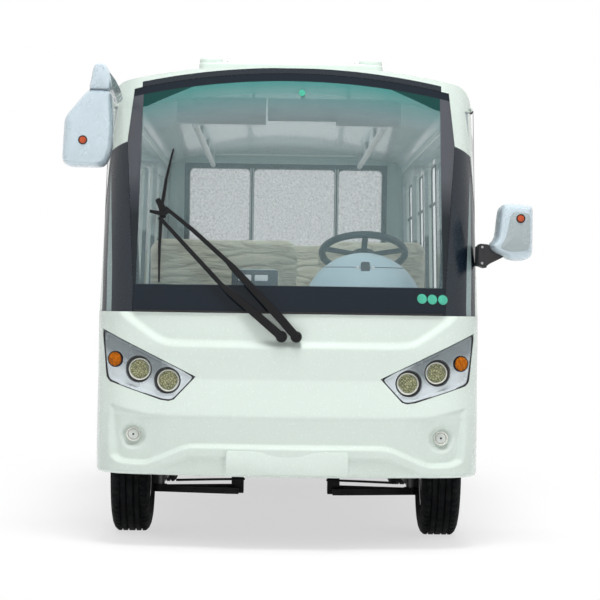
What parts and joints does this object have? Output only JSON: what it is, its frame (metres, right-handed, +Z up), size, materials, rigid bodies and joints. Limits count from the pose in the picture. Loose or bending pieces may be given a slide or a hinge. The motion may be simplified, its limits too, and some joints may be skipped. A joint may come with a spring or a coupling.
{
  "type": "enclosed electric sightseeing bus",
  "caption": "Enclosed electric sightseeing bus with bowed windscreen, three hinged doors, benches, roof pod, and wheels that roll and steer.",
  "frame": {"origin": "on the ground under the middle of the body's box", "axes": "+Z up, -Y out of the nose, +Y towards the tail along the longest side, +X towards the driver's side"},
  "size_m": [1.855, 5.131, 2.038],
  "materials": {
    "body_white": "gloss",
    "body_black": "gloss",
    "chassis": "satin",
    "steel": "rough",
    "alloy": "satin",
    "tyre": "matte",
    "floor_grey": "matte",
    "glass_clear": "gloss",
    "lamp_silver": "satin",
    "lamp_clear": "gloss",
    "lamp_red": "gloss",
    "black_plastic": "matte",
    "silver_plastic": "satin",
    "dash_grey": "satin",
    "seat_beige": "satin",
    "trim_grey": "matte"
  },
  "bodies": {
    "bus": {"battery_box": "chassis", "cabin_fittings": "trim_grey", "chassis_rails": "chassis", "chassis_crossmembers": "chassis", "corner_covers": "body_black", "dashboard": "dash_grey", "fixed_glass": "glass_clear", "floor": "floor_grey", "front_mask": "body_white", "front_seats": "seat_beige", "front_suspension": "chassis", "headlamp_units": "lamp_silver", "lamp_lenses": "lamp_clear", "mirror_left": "silver_plastic", "mirror_right": "silver_plastic", "motor": "alloy", "rear_axle": "steel", "rear_wall": "body_white", "roof": "body_white", "roof_pod": "body_white", "saloon_seats": "seat_beige", "seat_bases": "trim_grey", "side_wall_left": "body_white", "side_wall_right": "body_white", "tail_lamps": "lamp_red", "wheel_housings": "floor_grey", "windscreen": "glass_clear", "windscreen_frame": "body_white", "wiper": "black_plastic"},
    "knuckle_left": {"knuckle_left": "steel"},
    "knuckle_right": {"knuckle_right": "steel"},
    "rack_bar": {"rack_bar": "steel"},
    "steering_wheel": {"steering_wheel": "black_plastic"},
    "wheel_front_left": {"rim_front_left": "alloy", "tyre_front_left": "tyre"},
    "wheel_front_right": {"rim_front_right": "alloy", "tyre_front_right": "tyre"},
    "wheel_rear_left": {"rim_rear_left": "alloy", "tyre_rear_left": "tyre"},
    "wheel_rear_right": {"rim_rear_right": "alloy", "tyre_rear_right": "tyre"},
    "door_driver": {"door_driver": "body_white", "door_glass_driver": "glass_clear"},
    "door_front_passenger": {"door_front_passenger": "body_white", "door_glass_front_passenger": "glass_clear"},
    "door_saloon": {"door_saloon": "body_white", "door_glass_saloon": "glass_clear"}
  },
  "joints": [
    {"name": "steer_left", "type": "hinge", "parent": "bus", "child": "knuckle_left", "pos_m": [0.525, -1.75, 0.28], "axis": [0, 0, 1], "range_deg": [-32, 32]},
    {"name": "steer_right", "type": "hinge", "parent": "bus", "child": "knuckle_right", "pos_m": [-0.525, -1.75, 0.28], "axis": [0, 0, 1], "range_deg": [-32, 32]},
    {"name": "rack_slide", "type": "slide", "parent": "bus", "child": "rack_bar", "axis": [-1, 0, 0], "range_m": [-0.06459, 0.06459]},
    {"name": "steering_wheel_turn", "type": "hinge", "parent": "bus", "child": "steering_wheel", "pos_m": [0.316, -1.65, 1.175], "axis": [0, 0.4226, 0.9063], "range_deg": [-482, 482]},
    {"name": "spin_front_left", "type": "hinge", "parent": "knuckle_left", "child": "wheel_front_left", "pos_m": [0.636, -1.75, 0.28], "axis": [1, 0, 0], "continuous": true},
    {"name": "spin_front_right", "type": "hinge", "parent": "knuckle_right", "child": "wheel_front_right", "pos_m": [-0.636, -1.75, 0.28], "axis": [1, 0, 0], "continuous": true},
    {"name": "spin_rear_left", "type": "hinge", "parent": "bus", "child": "wheel_rear_left", "pos_m": [0.636, 0.95, 0.28], "axis": [1, 0, 0], "continuous": true},
    {"name": "spin_rear_right", "type": "hinge", "parent": "bus", "child": "wheel_rear_right", "pos_m": [-0.636, 0.95, 0.28], "axis": [1, 0, 0], "continuous": true},
    {"name": "open_driver_door", "type": "hinge", "parent": "bus", "child": "door_driver", "pos_m": [0.762, -1.347, 0.66], "axis": [0, 0, -1], "range_deg": [0, 70]},
    {"name": "open_front_passenger_door", "type": "hinge", "parent": "bus", "child": "door_front_passenger", "pos_m": [-0.762, -1.347, 0.66], "axis": [0, 0, 1], "range_deg": [0, 70]},
    {"name": "open_saloon_door", "type": "hinge", "parent": "bus", "child": "door_saloon", "pos_m": [-0.762, -0.557, 0.66], "axis": [0, 0, 1], "range_deg": [0, 70]}
  ],
  "couplings": [
    {"joint": "steer_right", "follows": "steer_left", "ratio": 1},
    {"joint": "rack_slide", "follows": "steer_left", "m_per_rad": 0.11386},
    {"joint": "steering_wheel_turn", "follows": "steer_left", "ratio": 15}
  ]
}
